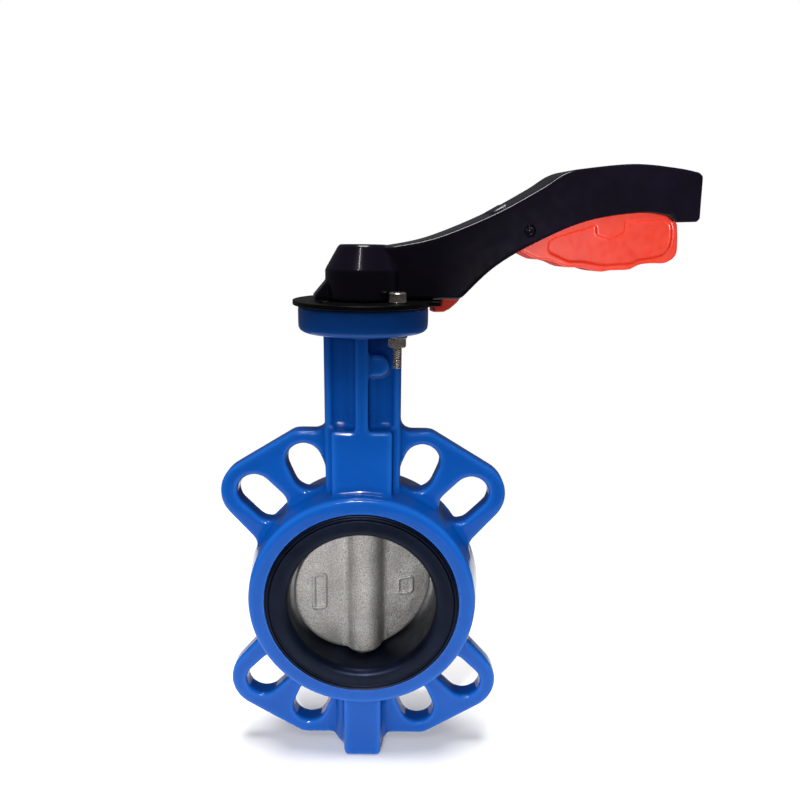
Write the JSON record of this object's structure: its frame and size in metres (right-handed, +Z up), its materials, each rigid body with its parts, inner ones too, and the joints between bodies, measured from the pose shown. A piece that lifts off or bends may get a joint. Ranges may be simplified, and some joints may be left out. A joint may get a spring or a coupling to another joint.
{
  "type": "wafer butterfly valve",
  "caption": "Wafer butterfly valve with a rubber seat, a cast disc on an upright stem, slotted bolt lugs, a notched index plate and a squeeze-grip lever.",
  "frame": {"origin": "centre of the pipe bore, on the stem axis, midway between the two pipe faces", "axes": "+Z up the stem towards the lever, +Y along the pipe, +X the way the lever points when the valve is shut"},
  "size_m": [0.2622, 0.0951, 0.3328],
  "materials": {
    "blue_epoxy": "glossy fusion-bonded epoxy over ductile iron",
    "black_rubber": "moulded EPDM, satin",
    "cast_stainless": "bead-blasted cast stainless",
    "turned_stainless": "turned stainless bar",
    "plated_steel": "zinc-plated steel",
    "black_paint": "glossy black powder coat on steel",
    "black_casting": "die-cast aluminium with a glossy black coat",
    "red_nylon": "orange-red moulded nylon",
    "bronze": "plain bronze bush",
    "spring_steel": "spring steel"
  },
  "bodies": {
    "body": {"valve_body": "blue_epoxy", "seat_liner": "black_rubber", "upper_bush": "bronze", "middle_bush": "bronze", "lower_bush": "bronze", "stem_oring": "black_rubber", "stem_circlip": "spring_steel", "notch_plate": "black_paint", "plate_screw_front": "plated_steel", "plate_washer_front": "plated_steel", "plate_nut_front": "plated_steel", "plate_screw_rear": "plated_steel", "plate_washer_rear": "plated_steel", "plate_nut_rear": "plated_steel"},
    "turning": {"disc": "cast_stainless", "upper_stem": "turned_stainless", "lower_stem": "turned_stainless", "lever_handle": "black_casting", "lever_set_screw": "spring_steel", "trigger_pin": "black_paint", "trigger_spring": "spring_steel"},
    "trigger": {"trigger_lever": "red_nylon", "latch_tooth": "red_nylon"}
  },
  "joints": [
    {"name": "stem_turn", "type": "hinge", "parent": "body", "child": "turning", "pos_m": [0, 0, 0], "axis": [0, 0, 1], "range_deg": [-15, 75]},
    {"name": "trigger_squeeze", "type": "hinge", "parent": "turning", "child": "trigger", "pos_m": [0.08307, 0.02226, 0.197], "axis": [0.2588, -0.9659, 0], "range_deg": [0, 8], "stiffness_Nm_per_rad": 3, "springref_deg": -5.73, "deforming": ["trigger_spring"]}
  ]
}
